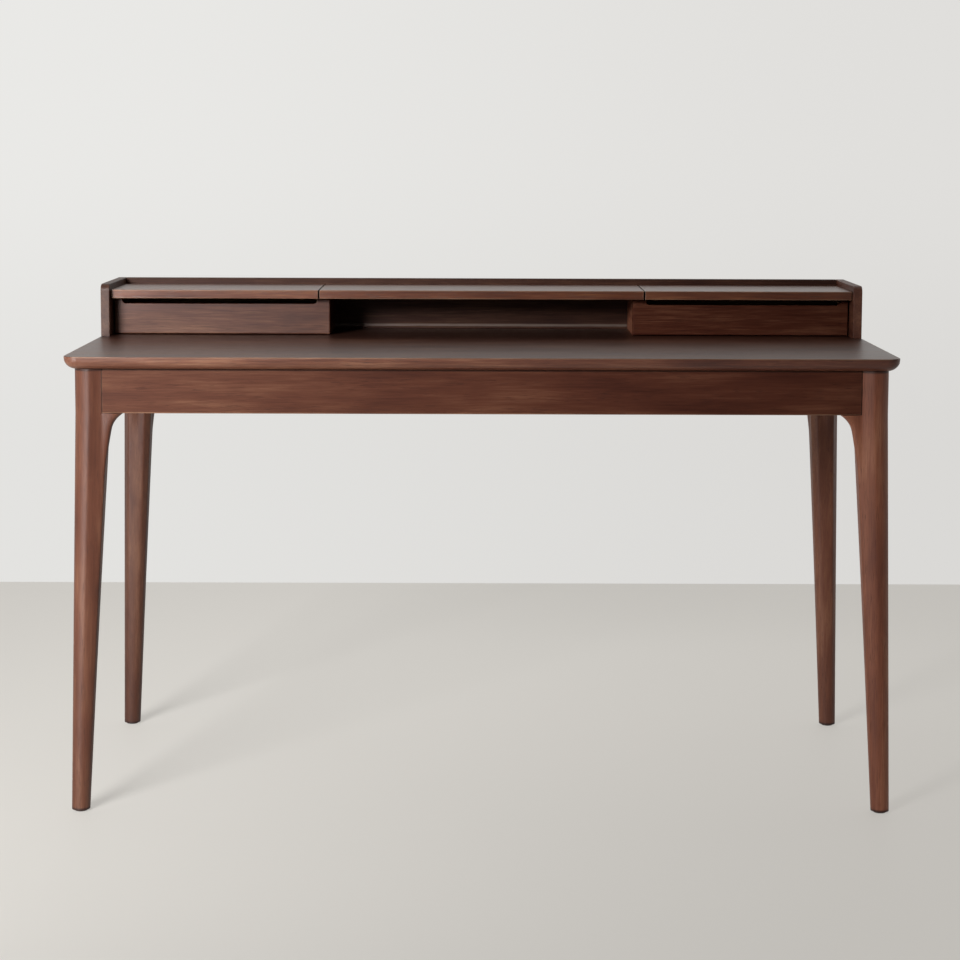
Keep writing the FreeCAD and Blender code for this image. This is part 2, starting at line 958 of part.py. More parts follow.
def base_pieces():
    """The desk top, the legs and all that joins them, by name."""
    pieces = {}
    legs = at_corners(front_left_leg_shape())
    glides = at_corners(glide_shape())
    bolts = at_corners(corner_bolt_shape())
    blocks = at_corners(corner_block_shape())
    joint_dowels = []
    for dowel in apron_joint_dowels():
        joint_dowels += list(at_corners(dowel).values())
    for dowel in bearer_dowels():
        joint_dowels += [dowel, flip_y(dowel)]
    for corner, leg in legs.items():
        near = [dowel for dowel in joint_dowels if leg.BoundBox.intersect(dowel.BoundBox)]
        pieces[corner + "_leg"] = leg.cut(near + [bolts[corner], glides[corner]])
        pieces[corner + "_corner_block"] = blocks[corner].cut(bolts[corner])

    angles, angle_screws = [], []
    for share in angle_place_shares:
        angle, screws = angle_and_screws(leg_outer_x * share)
        angles += [angle.cut(screws), flip_y(angle.cut(screws))]
        angle_screws += screws + [flip_y(screw) for screw in screws]
    front = front_apron_shape()
    left = left_apron_shape()
    rails = {
        "front_apron": front,
        "rear_apron": flip_y(front),
        "left_apron": left,
        "right_apron": flip_x(left),
    }
    for name, rail in rails.items():
        pieces[name] = rail.cut(joint_dowels + angle_screws)
    pieces["centre_bearer"] = bearer_shape().cut(joint_dowels)
    pieces["apron_dowels"] = group(joint_dowels)
    pieces["corner_bolts"] = group(list(bolts.values()))
    pieces["corner_washers"] = group(list(at_corners(corner_washer_shape()).values()))
    pieces["corner_nuts"] = group(list(at_corners(corner_nut_shape()).values()))
    pieces["top_angles"] = group(angles)
    pieces["top_angle_screws"] = group(angle_screws)
    pieces["foot_glides"] = group(list(glides.values()))

    hutch_screws = both_sides(divider_screws()) + back_screws()
    pockets = [tool for screw in hutch_screws for tool in screw_pocket(screw)]
    dowels = both_sides(side_panel_dowels())
    pieces["desk_top"] = desk_top_shape().cut(pockets + dowels + angle_screws)
    return pieces


def hutch_pieces():
    """The hutch's fixed pieces, by name."""
    pieces = {}
    side_dowels = side_panel_dowels()
    all_side_dowels = both_sides(side_dowels)
    divider_dowels = both_sides(board_dowels())
    rear_dowels = board_rear_dowels()
    screws = both_sides(divider_screws()) + back_screws()
    walls = {"outer": (side_inner_x, -1), "inner": (divider_outer_x, 1)}
    right_screws = [screw for wall in walls.values() for screw in runner_screws(*wall)]
    panel_hole, board_hole = bush_holes()

    panel = side_panel_shape().cut(side_dowels + right_screws + [panel_hole])
    divider = divider_shape().cut(board_dowels() + divider_screws() + right_screws)
    for hand, turn in (("left", flip_x), ("right", lambda shape: shape)):
        pieces[hand + "_side_panel"] = turn(panel)
        pieces[hand + "_divider"] = turn(divider)
        for place, wall in walls.items():
            pieces[hand + "_" + place + "_lid_rest"] = turn(rest_shape(*wall))
            runner = runner_shape(*wall).cut(right_screws)
            pieces[hand + "_" + place + "_runner"] = turn(runner)
    pieces["back_panel"] = back_panel_shape().cut(all_side_dowels + rear_dowels + screws)
    board_tools = divider_dowels + rear_dowels + [board_hole, flip_x(board_hole)]
    pieces["centre_board"] = centre_board_shape().cut(board_tools)
    pieces["hutch_dowels"] = group(all_side_dowels + divider_dowels + rear_dowels)
    pieces["hutch_screws"] = group(screws)
    pieces["runner_screws"] = group(both_sides(right_screws))
    pieces["lid_bushes"] = group(both_sides(bushes()))
    pads = [pad for wall in walls.values() for pad in rest_pads(*wall)]
    pieces["lid_rest_pads"] = group(both_sides(pads))
    stops = [stop_shape(*wall) for wall in walls.values()]
    pieces["drawer_stops"] = group(both_sides(stops))
    return pieces


def moving_pieces():
    """The two lids and the two drawers, by name."""
    pieces = {}
    pins = pivot_pins()
    lid = lid_shape().cut(pins)
    joints = drawer_joint_pins()
    parts = {
        "drawer_front": drawer_front_shape().cut([bottom_shape()] + joints),
        "drawer_inner_side": drawer_side_shape(box_inner_x, 1).cut(joints),
        "drawer_outer_side": drawer_side_shape(box_outer_x, -1).cut(joints),
        "drawer_back": drawer_back_shape().cut(joints),
        "drawer_bottom": bottom_shape(),
        "drawer_dowels": group(joints),
        "lid": lid,
        "lid_pins": group(pins),
    }
    for hand, turn in (("left", flip_x), ("right", lambda shape: shape)):
        for name, shape in parts.items():
            pieces[hand + "_" + name] = turn(shape)
    return pieces


def main():
    """Writes one file for each named piece."""
    os.makedirs("parts", exist_ok=True)
    pieces = {**base_pieces(), **hutch_pieces(), **moving_pieces()}
    for name, shape in pieces.items():
        solids = shape.Solids
        shape = solids[0] if len(solids) == 1 else Part.makeCompound(solids)
        shape.exportStep("parts/" + name + ".step")
        print("%-26s solids %2d  valid %s  volume %.0f" % (name, len(solids), shape.isValid(), shape.Volume))


main()
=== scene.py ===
"""A walnut-stained writing desk with a low hutch, dressed for its photograph.

Metres. X runs along the width, the front faces -Y and Z points up. Node trees come first, then the
finishes, the small parts that Geometry Nodes set in place, the studio, and one class for each
sub-assembly of the desk.
"""

import logging
import math
from dataclasses import dataclass, replace
from enum import Enum
from typing import Any, Dict, List, Optional, Sequence, Tuple, Union

import bmesh
import bpy
from mathutils import Matrix, Vector


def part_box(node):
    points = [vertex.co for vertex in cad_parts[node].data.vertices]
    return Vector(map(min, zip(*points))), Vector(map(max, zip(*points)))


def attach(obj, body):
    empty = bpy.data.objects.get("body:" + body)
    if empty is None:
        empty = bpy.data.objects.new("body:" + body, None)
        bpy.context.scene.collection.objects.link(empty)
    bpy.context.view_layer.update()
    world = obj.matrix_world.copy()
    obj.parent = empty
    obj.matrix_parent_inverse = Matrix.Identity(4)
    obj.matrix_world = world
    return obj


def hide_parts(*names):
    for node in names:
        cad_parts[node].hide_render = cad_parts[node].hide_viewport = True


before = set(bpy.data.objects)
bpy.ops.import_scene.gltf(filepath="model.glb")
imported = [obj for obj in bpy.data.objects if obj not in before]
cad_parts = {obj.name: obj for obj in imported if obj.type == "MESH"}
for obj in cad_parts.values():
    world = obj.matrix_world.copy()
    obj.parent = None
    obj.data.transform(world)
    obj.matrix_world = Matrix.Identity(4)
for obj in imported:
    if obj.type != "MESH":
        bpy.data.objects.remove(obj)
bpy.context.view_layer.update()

LOG = logging.getLogger("desk")
SAME_PLACE = 1e-6
Colour = Tuple[float, float, float]
Point = Tuple[float, float, float]
Span = Tuple[float, float]
Material = bpy.types.Material
Socket = bpy.types.NodeSocket
Number = Union[float, "Expr"]
Triple = Tuple["Expr", "Expr", "Expr"]


class Grain(Enum):
    """The direction that a board's fibres run in, first of the three axes."""

    X = "XYZ"
    Y = "YXZ"
    Z = "ZXY"


class Blend(Enum):
    """How two colours are mixed."""

    MIX = "MIX"
    MULTIPLY = "MULTIPLY"


class Element(Enum):
    """What an extrusion pushes."""

    FACES = "FACES"
    EDGES = "EDGES"


class Tree:
    """Nodes of one shader or geometry tree, all made by one method."""

    def __init__(self, tree: bpy.types.NodeTree) -> None:
        """Wraps a tree.

        Args:
            tree: The node tree to build in.
        """
        self.tree = tree

    def node(
        self,
        kind: str,
        settings: Optional[Dict[str, Any]] = None,
        values: Optional[Dict[Union[str, int], Any]] = None,
    ) -> bpy.types.Node:
        """Makes a node: its settings first, then its values and links.

        Args:
            kind: The node's type.
            settings: The node's own properties.
            values: A value or a link for each input, by name, identifier or index.

        Returns:
            The node.
        """
        made = self.tree.nodes.new(kind)
        for name, value in (settings or {}).items():
            setattr(made, name, value)
        for key, value in (values or {}).items():
            self._feed(self.socket(made.inputs, key), value)
        return made

    @staticmethod
    def socket(sockets: Any, key: Union[str, int]) -> Socket:
        """The socket with an index, an identifier or a name.

        Args:
            sockets: A node's inputs or outputs.
            key: What the socket is called, or its place.

        Returns:
            The socket.
        """
        if isinstance(key, int):
            return sockets[key]
        for found in sockets:
            if found.identifier == key:
                return found
        return sockets[key]

    def _feed(self, socket: Socket, value: Any) -> None:
        """Links or sets an input.

        Args:
            socket: The input.
            value: A number of the tree, an output, or a plain value.
        """
        if isinstance(value, Expr):
            value = value.socket
        if isinstance(value, Socket):
            self.tree.links.new(value, socket)
        else:
            socket.default_value = value

    def mix(self, factor: Number, first: Any, second: Any, how: Blend = Blend.MIX) -> Socket:
        """Two colours mixed.

        Args:
            factor: How much of the second.
            first: A colour or a link.
            second: A colour or a link.
            how: The way of mixing.

        Returns:
            The mixed colour.
        """

        def full(colour: Any) -> Any:
            """A plain colour with its alpha."""
            return (*colour, 1.0) if isinstance(colour, tuple) else colour

        made = self.node(
            "ShaderNodeMix",
            {"data_type": "RGBA", "blend_type": how.value},
            {"Factor_Float": factor, "A_Color": full(first), "B_Color": full(second)},
        )
        return self.socket(made.outputs, "Result_Color")

    def tinted(self, colour: Any, tint: Any) -> Socket:
        """A colour times a tint."""
        return self.mix(1.0, colour, tint, Blend.MULTIPLY)

    def number(self, socket: Socket) -> "Expr":
        """An output as a number that sums can be written with."""
        return Expr(self, socket)

    def vector(self, x: Number, y: Number, z: Number) -> Socket:
        """Three numbers as one vector."""
        return self.node("ShaderNodeCombineXYZ", None, {0: x, 1: y, 2: z}).outputs[0]

    def parts(self, vector: Socket) -> Triple:
        """A vector's three numbers."""
        x, y, z = self.node("ShaderNodeSeparateXYZ", None, {0: vector}).outputs
        return self.number(x), self.number(y), self.number(z)

    def noise(
        self, place: Triple, cells: Point, detail: float = 3.0, rough: float = 0.5
    ) -> "Expr":
        """Soft noise from 0 to 1.

        Args:
            place: Where to read it.
            cells: Its cells in a unit along each axis.
            detail: Finer layers.
            rough: How strong the finer layers are.

        Returns:
            The noise.
        """
        where = self.vector(*(part * count for part, count in zip(place, cells)))
        made = self.node(
            "ShaderNodeTexNoise",
            {"noise_dimensions": "3D"},
            {"Vector": where, "Scale": 1.0, "Detail": detail, "Roughness": rough},
        )
        return self.number(made.outputs[0])

    def rays(self) -> Triple:
        """How a thing is looked at.

        Returns:
            1 where the camera sees it, 1 in a mirror and 1 through glass.
        """
        path = self.node("ShaderNodeLightPath")
        seen, mirrored, through = (
            self.number(path.outputs[name])
            for name in ("Is Camera Ray", "Is Glossy Ray", "Is Transmission Ray")
        )
        return seen, mirrored, through


class Expr:
    """A number in a tree. Python's sums on it add Math nodes."""

    def __init__(self, tree: Tree, socket: Socket) -> None:
        """Wraps an output socket.

        Args:
            tree: The tree that the socket belongs to.
            socket: The output.
        """
        self.tree, self.socket = tree, socket

    def _math(self, operation: str, *others: Number, swap: bool = False) -> "Expr":
        """Makes a Math node.

        Args:
            operation: What it does.
            others: What it takes after this number.
            swap: Whether this number comes last instead.

        Returns:
            Its result.
        """
        terms: List[Number] = [self, *others]
        if swap:
            terms.reverse()
        made = self.tree.node("ShaderNodeMath", {"operation": operation}, dict(enumerate(terms)))
        return Expr(self.tree, made.outputs[0])

    def __add__(self, other: Number) -> "Expr":
        """self + other."""
        return self._math("ADD", other)

    def __radd__(self, other: Number) -> "Expr":
        """other + self."""
        return self._math("ADD", other, swap=True)

    def __sub__(self, other: Number) -> "Expr":
        """self - other."""
        return self._math("SUBTRACT", other)

    def __rsub__(self, other: Number) -> "Expr":
        """other - self."""
        return self._math("SUBTRACT", other, swap=True)

    def __mul__(self, other: Number) -> "Expr":
        """self * other."""
        return self._math("MULTIPLY", other)

    def __rmul__(self, other: Number) -> "Expr":
        """other * self."""
        return self._math("MULTIPLY", other, swap=True)

    def __truediv__(self, other: Number) -> "Expr":
        """self / other."""
        return self._math("DIVIDE", other)

    def __pow__(self, other: Number) -> "Expr":
        """self ** other."""
        return self._math("POWER", other)

    def root(self) -> "Expr":
        """The square root."""
        return self._math("SQRT")

    def size(self) -> "Expr":
        """The number without its sign."""
        return self._math("ABSOLUTE")

    def over(self, limit: Number) -> "Expr":
        """1 where the number is over a limit, and 0 elsewhere."""
        return self._math("GREATER_THAN", limit)

    def step_up(self, low: float, high: float) -> "Expr":
        """0 below low, 1 above high and a smooth rise between.

        Args:
            low: Where the rise starts.
            high: Where it ends.

        Returns:
            The rise.
        """
        made = self.tree.node(
            "ShaderNodeMapRange",
            {"interpolation_type": "SMOOTHSTEP"},
            {"Value": self, "From Min": low, "From Max": high},
        )
        return Expr(self.tree, made.outputs["Result"])


class Shader(Tree):
    """A material's tree with one Principled shader."""

    def __init__(self, name: str) -> None:
        """Makes an empty material.

        Args:
            name: The material's name.
        """
        self.material = bpy.data.materials.new(name)
        self.material.use_nodes = True
        self.material.node_tree.nodes.clear()
        super().__init__(self.material.node_tree)

    def place(
        self, grain: Grain = Grain.X, shift: Sequence[float] = (0.0, 0.0, 0.0), tilt: float = 0.0
    ) -> Triple:
        """Where a point is on its piece, as along and across the grain.

        Args:
            grain: The fibres' direction.
            shift: Moves the pattern, so that no two boards share one.
            tilt: Turns the pattern a little in the board, in radians.

        Returns:
            The distance along the grain, and the two across it.
        """
        spot = self.node("ShaderNodeTexCoord").outputs["Object"]
        values = {"Vector": spot, "Location": tuple(shift), "Rotation": (tilt,) * 3}
        parts = self.parts(self.node("ShaderNodeMapping", None, values).outputs[0])
        along, first, second = (parts["XYZ".index(axis)] for axis in grain.value)
        return along, first, second

    def surface(self, values: Dict[str, Any], height: Expr, depth: float) -> Material:
        """Ends the material in a Principled shader.

        Args:
            values: The shader's inputs.
            height: The relief, from 0 to 1.
            depth: The relief's depth in metres.

        Returns:
            The material.
        """
        bump = self.node(
            "ShaderNodeBump", None, {"Height": height, "Distance": depth, "Strength": 1.0}
        )
        values = {**values, "Normal": bump.outputs[0]}
        shader = self.node("ShaderNodeBsdfPrincipled", None, values)
        self.node("ShaderNodeOutputMaterial", None, {"Surface": shader.outputs[0]})
        return self.material

    def glow(self, colour: Socket, roughness: float, share: float) -> Material:
        """Ends the material in paint that the camera and mirrors see partly lit by itself.

        Args:
            colour: The paint's colour.
            roughness: The paint's roughness.
            share: How much of what is seen is its own light.

        Returns:
            The material.
        """
        paint = self.node(
            "ShaderNodeBsdfPrincipled", None, {"Base Color": colour, "Roughness": roughness}
        )
        light = self.node("ShaderNodeEmission", None, {"Color": colour, "Strength": 1.0})
        seen, mirrored, through = self.rays()
        shown = self.node(
            "ShaderNodeMixShader",
            None,
            {0: (seen + mirrored + through) * share, 1: paint.outputs[0], 2: light.outputs[0]},
        )
        self.node("ShaderNodeOutputMaterial", None, {"Surface": shown.outputs[0]})
        return self.material


@dataclass(frozen=True)
class Layer:
    """One layer of a wood's figure: its cells in a metre along and across the grain."""

    along: float
    across: float
    detail: float = 3.0
    rough: float = 0.6

    def on(self, shader: Shader, place: Triple) -> Expr:
        """The layer at a place along the grain and across it, from 0 to 1."""
        cells = (self.along, self.across, self.across)
        return shader.noise(place, cells, self.detail, self.rough)


@dataclass(frozen=True)
class WoodFinish:
    """A wood: its colours, figure and pores, its finish and wear, and its painted light and shade.

    Attributes:
        pore: The colour of the pores, and of collected stain and painted shade at the board's ends
            and upper edge.
        layers: The figure: its clouds, bands, streaks, fibres and pores.
        worn_and_glint: The colour of the lightened arrises: partly wear, partly a painted
            highlight.
        rim_light: The tint of painted light on the board's edges, at its left end.
        far_rim_light: The tint of that painted light at its right end, where it differs.
        gathered_and_shaded: How far in from the board's ends stain collects and shade is painted in
            the gaps.
        tucked_and_shaded: How far down from the upper edge stain collects and shade is painted
            under what overhangs it.
        shade_strip: Along Y, where painted shade starts and where it is full, towards the back.
        foot_line: The colour of a pale line above the board's foot.
        far_shade_tint: The tint of painted shade towards the board's right end, darker and redder.
    """

    name: str
    pale: Colour
    middle: Colour
    dark: Colour
    pore: Colour
    bend: Layer = Layer(1.6, 9.0, 2.0, 0.5)
    layers: Tuple[Layer, ...] = (
        Layer(4.6, 24.0, 2.0, 0.5),
        Layer(3.6, 85.0),
        Layer(13.0, 310.0),
        Layer(24.0, 820.0),
        Layer(42.0, 1150.0, 1.0, 0.4),
    )
    clouds: float = 0.85
    figure: float = 0.55
    streaks: float = 0.7
    fibres: float = 0.5
    pores: float = 0.55
    roughness: float = 0.5
    gloss: float = 0.3
    relief: float = 0.00010
    worn_and_glint: Optional[Colour] = None
    worn_and_glint_width: float = 0.0026
    rim_light: Colour = (1.0, 1.0, 1.0)
    far_rim_light: Optional[Colour] = None
    gathered_and_shaded: float = 0.0
    tucked_and_shaded: float = 0.0
    shade_strip: Optional[Span] = None
    foot_line: Optional[Colour] = None
    far_shade_tint: Optional[Colour] = None


class Board(Shader):
    """One board's material, from its wood's figure to its wear and its painted light and shade."""

    # How a seed moves and tilts the figure, and how far the figure bends.
    turn_step = 2.399
    shift_steps = (0.37, 0.21, 0.17)
    most_tilt = 0.010
    bend_depth = 0.012
    second_bend = 0.7
    pore_rise = (0.6, 0.7)
    pore_bands = (0.25, 0.65)
    tone_rise = (0.45, 0.85)
    # The lacquer, and how much the figure roughens and lifts it.
    lacquer_ior = 1.48
    cloud_roughness = 0.08
    fibre_roughness = 0.14
    pore_roughness = 0.12
    pore_relief = 0.65
    fibre_relief = 0.35
    # Where the painted light on the edges fades, below the upper face and above the lower one.
    top_rim_light = (0.0016, 0.0004)
    bottom_rim = (0.0002, 0.001)
    # A core is the share of a line's width where its colour is full.
    worn_and_glint_core = 0.25
    worn_and_glint_least = 0.35
    worn_and_glint_streaks = 0.5
    worn_and_glint_bands = (0.2, 0.6)
    gathered_and_shaded_core = 0.4
    tucked_and_shaded_core = 0.5
    gathered_and_shaded_share = 0.85
    # The painted shade strip: how much of it shows, and how dark it is.
    shade_strip_share = 0.8
    shade_strip_depth = 0.5
    # The pale line's lower and upper edge, above the foot.
    foot_line_rise = (0.0035, 0.0055)
    foot_line_fall = (0.007, 0.0105)
    foot_line_least = 0.5
    foot_line_streaks = 0.6

    def __init__(self, wood: WoodFinish, board: str, grain: Grain, seed: int) -> None:
        """Draws a board's figure.

        Args:
            wood: The board's finish.
            board: The board's name, which is its node's.
            grain: The fibres' direction on it.
            seed: Picks the board's own figure.
        """
        super().__init__(wood.name + "_" + board)
        self.wood = wood
        self.low, self.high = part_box(board)
        self.long_axis = "XYZ".index(grain.value[0])
        self.spot = self.place()
        turn = seed * self.turn_step
        steps = zip(self.shift_steps, (seed, math.sin(turn), math.cos(turn)))
        shift = tuple(step * part for step, part in steps)
        along, first, second = self.place(grain, shift, self.most_tilt * math.sin(turn))
        bend = (wood.bend.on(self, (along, first, second)) - 0.5) * self.bend_depth
        place = (along, first + bend, second + bend * self.second_bend)
        figure = (layer.on(self, place) for layer in wood.layers)
        self.cloud, self.band, self.streak, self.fibre, dash = figure
        self.pore = dash.step_up(*self.pore_rise) * self.band.step_up(*self.pore_bands)

    def finish(self, tone: float) -> Material:
        """Stains, wears and lacquers the board, and paints light and shade on it.

        Args:
            tone: How light this board is: the stain it took, and on some boards painted shade.

        Returns:
            The material.
        """
        wood = self.wood
        shade = self._paint_light_and_wear(self._stained(tone))
        # Painted shade in the gaps at the board's ends and under its upper edge, with collected
        # stain.
        if wood.gathered_and_shaded or wood.tucked_and_shaded:
            shade = self.mix(self._stain_and_shade_line() * self.gathered_and_shaded_share, shade, wood.pore)
        # Painted shade towards the back of the face, in front of and under the hutch: its shadow
        # and its dark reflection.
        if wood.shade_strip is not None:
            strip_shade = self.spot[1].step_up(*wood.shade_strip) * self.shade_strip_share
            shade = self.mix(strip_shade, shade, tuple(self.shade_strip_depth * part for part in wood.dark))
        # A pale line above the board's foot.
        if wood.foot_line is not None:
            shade = self.mix(self._foot_line_mask(), shade, wood.foot_line)
        rough = wood.roughness + (self.fibre - 0.5) * self.fibre_roughness
        rough = rough + (self.cloud - 0.5) * self.cloud_roughness
        values = {
            "Base Color": self.mix(self.pore * wood.pores, shade, wood.pore),
            "Roughness": rough + self.pore * self.pore_roughness,
            "IOR": self.lacquer_ior,
            "Specular IOR Level": wood.gloss,
        }
        relief = (1.0 - self.pore) * self.pore_relief + self.fibre * self.fibre_relief
        return self.surface(values, relief, wood.relief)

    def _stained(self, tone: float) -> Socket:
        """The colour before wear and painted light, from dark through middle to pale.

        Args:
            tone: How light this board is: the stain it took, and on some boards painted shade.

        Returns:
            The colour.
        """
        wood = self.wood
        level = (
            0.5
            + (self.cloud - 0.5) * wood.clouds
            + (self.band - 0.5) * wood.figure
            + (self.streak - 0.5) * wood.streaks
            + (self.fibre - 0.5) * wood.fibres
        )
        lighter = self.mix(level.step_up(*self.tone_rise), wood.middle, wood.pale)
        shade = self.mix((1.0 - level).step_up(*self.tone_rise), lighter, wood.dark)
        return self.tinted(shade, (tone,) * 3)

    def _paint_light_and_wear(self, shade: Socket) -> Socket:
        """Paints shade on the right end and light on the edges, and lightens the arrises: wear and
        painted highlight.

        Args:
            shade: The colour so far.

        Returns:
            The colour.
        """
        wood = self.wood
        to_the_right = self.spot[0].step_up(self.low.x, self.high.x)
        # Painted shade: the board turns darker and redder towards its right end.
        if wood.far_shade_tint is not None:
            shade = self.mix(to_the_right, shade, self.tinted(shade, wood.far_shade_tint))
        if wood.worn_and_glint is None:
            return shade
        # Painted light: the edges below the upper face are tinted, differently at the left and
        # right ends.
        below_top = 1.0 - self.spot[2].step_up(*(self.high.z - part for part in self.top_rim_light))
        above_foot = self.spot[2].step_up(*(self.low.z + part for part in self.bottom_rim))
        rim_light = self.mix(to_the_right, wood.rim_light, wood.far_rim_light or wood.rim_light)
        shade = self.mix(below_top * above_foot, shade, self.tinted(shade, rim_light))
        # The arrises lighten: partly wear, partly a painted highlight.
        reach = (self.worn_and_glint_core * wood.worn_and_glint_width, wood.worn_and_glint_width)
        near = [1.0 - self._inward(axis).step_up(*reach) for axis in range(3)]
        arris = near[0] * near[1] + near[1] * near[2] + near[2] * near[0]
        rubbed_and_glint = arris * (self.worn_and_glint_least + self.streak * self.worn_and_glint_streaks)
        return self.mix(rubbed_and_glint * self.band.step_up(*self.worn_and_glint_bands), shade, wood.worn_and_glint)

    def _inward(self, axis: int) -> Expr:
        """How far inside the board's nearest end along an axis a point is."""
        middle = (self.low[axis] + self.high[axis]) / 2
        return (self.high[axis] - self.low[axis]) / 2 - (self.spot[axis] - middle).size()

    def _stain_and_shade_line(self) -> Number:
        """Where stain collects and shade is painted: at the board's ends and along its upper edge.

        Returns:
            1 where the stain and the painted shade are darkest.
        """
        wood, line = self.wood, 0.0
        if wood.gathered_and_shaded:
            inward = self._inward(self.long_axis)
            line = 1.0 - inward.step_up(self.gathered_and_shaded_core * wood.gathered_and_shaded, wood.gathered_and_shaded)
        if wood.tucked_and_shaded:
            reach = (wood.tucked_and_shaded, self.tucked_and_shaded_core * wood.tucked_and_shaded)
            line = self.spot[2].step_up(*(self.high.z - part for part in reach)) + line
        return line

    def _foot_line_mask(self) -> Expr:
        """Where a pale line lies above the board's foot.

        Returns:
            1 on the line.
        """
        height = self.spot[2] - self.low.z
        on_line = height.step_up(*self.foot_line_rise) * (1.0 - height.step_up(*self.foot_line_fall))
        return on_line * (self.foot_line_least + self.streak * self.foot_line_streaks)


@dataclass(frozen=True)
class MetalFinish:
    """A turned or pressed metal with fine marks."""

    name: str
    colour: Colour
    roughness: float

    mark_cells = (900.0, 900.0, 2600.0)
    stain_cells = (60.0, 60.0, 60.0)
    stain_rise = (0.4, 0.75)
    stain_share = 0.6
    stain_depth = 0.72
    mark_roughness = 0.2
    stain_roughness = 0.15
    relief = 0.00002

    def material(self) -> Material:
        """The metal.

        Returns:
            The material.
        """
        shader = Shader(self.name)
        place = shader.place()
        marks = shader.noise(place, self.mark_cells)
        stain = shader.noise(place, self.stain_cells)
        darker = tuple(self.stain_depth * part for part in self.colour)
        stained = stain.step_up(*self.stain_rise) * self.stain_share
        rough = self.roughness + (marks - 0.5) * self.mark_roughness
        values = {
            "Base Color": shader.mix(stained, self.colour, darker),
            "Metallic": 1.0,
            "Roughness": rough + (stain - 0.5) * self.stain_roughness,
        }
        return shader.surface(values, marks, self.relief)


@dataclass(frozen=True)
class SoftFinish:
    """Moulded nylon or pressed felt, by how coarse and deep its surface is."""

    name: str
    colour: Colour
    cells: float
    depth: float
    roughness: float

    lighter = 1.35
    lift = 0.01
    light_rise = (0.3, 0.8)
    uneven_roughness = 0.2

    def material(self) -> Material:
        """The soft material.

        Returns:
            The material.
        """
        shader = Shader(self.name)
        coarse = shader.noise(shader.place(), (self.cells,) * 3, detail=4.0, rough=0.7)
        light = tuple(min(1.0, self.lighter * part + self.lift) for part in self.colour)
        colour = shader.mix(coarse.step_up(*self.light_rise), self.colour, light)
        rough = self.roughness + (coarse - 0.5) * self.uneven_roughness
        return shader.surface({"Base Color": colour, "Roughness": rough}, coarse, self.depth)


STAINED = WoodFinish(
    "walnut_stain",
    pale=(0.180, 0.078, 0.043),
    middle=(0.102, 0.034, 0.018),
    dark=(0.054, 0.016, 0.0095),
    pore=(0.022, 0.008, 0.006),
    # The arrises' colour: partly wear, partly a painted highlight.
    worn_and_glint=(0.30, 0.17, 0.105),
)
RUBBED = replace(STAINED, name="walnut_rubbed", roughness=0.36, gloss=0.5)
TURNED = replace(
    STAINED,
    name="walnut_turned",
    worn_and_glint=None,
    gloss=0.35,
    figure=0.34,
    streaks=0.36,
    fibres=0.3,
    # Darker leg ends: collected stain, and painted shade where the top overhangs them.
    gathered_and_shaded=0.005,
)
TOP = replace(
    RUBBED,
    name="walnut_top",
    gloss=0.46,
    # Painted light on the top's edges, brighter at the left end than at the right.
    rim_light=(2.05, 2.35, 2.5),
    far_rim_light=(1.36, 1.15, 1.15),
    # Painted shade on the top near the hutch.
    shade_strip=(0.01, 0.08),
)
LID = replace(
    # Its edge tint paints warm light on its edges, and its end line paints shade in the seams.
    RUBBED, name="walnut_lid", roughness=0.33, gloss=0.62, gathered_and_shaded=0.0012, rim_light=(1.2, 1.0, 0.7)
)
PANEL = replace(STAINED, name="walnut_panel", worn_and_glint=None, gloss=0.42)
APRON = replace(
    STAINED,
    name="walnut_apron",
    figure=0.36,
    streaks=0.38,
    fibres=0.3,
    gloss=0.12,
    # Darker apron ends and upper edge: collected stain, and painted shade beside the legs and under
    # the top.
    gathered_and_shaded=0.0026,
    tucked_and_shaded=0.0036,
    # Painted shade: darker and redder towards the right end.
    far_shade_tint=(1.0, 0.84, 0.84),
)
DEEP = replace(STAINED, name="walnut_deep", worn_and_glint=None, gloss=0.08)
# A darker, redder copy of the deep finish: painted shade for the right drawer front.
DEEP_SHADED_RED = replace(
    DEEP,
    name="walnut_deep_red",
    pale=(0.182, 0.066, 0.035),
    middle=(0.103, 0.027, 0.0135),
    dark=(0.054, 0.0125, 0.007),
)
# The back panel has a pale line above its foot.
BACK = replace(DEEP, name="walnut_back", gloss=0.2, foot_line=(0.2, 0.15, 0.125))
BEECH = WoodFinish(
    "beech",
    pale=(0.53, 0.35, 0.20),
    middle=(0.45, 0.28, 0.15),
    dark=(0.37, 0.22, 0.115),
    pore=(0.24, 0.13, 0.07),
    pores=0.4,
    roughness=0.62,
    relief=0.00006,
)
BOX_WOOD = WoodFinish(
    "box_wood",
    pale=(0.42, 0.27, 0.155),
    middle=(0.34, 0.205, 0.115),
    dark=(0.26, 0.15, 0.082),
    pore=(0.13, 0.065, 0.038),
    pores=0.45,
    roughness=0.55,
    relief=0.00008,
)
STEEL = MetalFinish("zinc_steel", (0.56, 0.56, 0.54), 0.38)
BRASS = MetalFinish("turned_brass", (0.76, 0.56, 0.25), 0.3)
NYLON = SoftFinish("nylon", (0.035, 0.03, 0.027), 700.0, 0.00003, 0.5)
FELT = SoftFinish("felt", (0.045, 0.038, 0.034), 2600.0, 0.0003, 0.95)
Rows = Tuple[Tuple[str, WoodFinish, Grain, float], ...]


def dress(node: str, material: Material) -> None:
    """Gives a whole node one material.

    Args:
        node: The node's name.
        material: Its material.
    """
    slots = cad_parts[node].data.materials
    if not slots:
        slots.append(material)
    for index in range(len(slots)):
        slots[index] = material


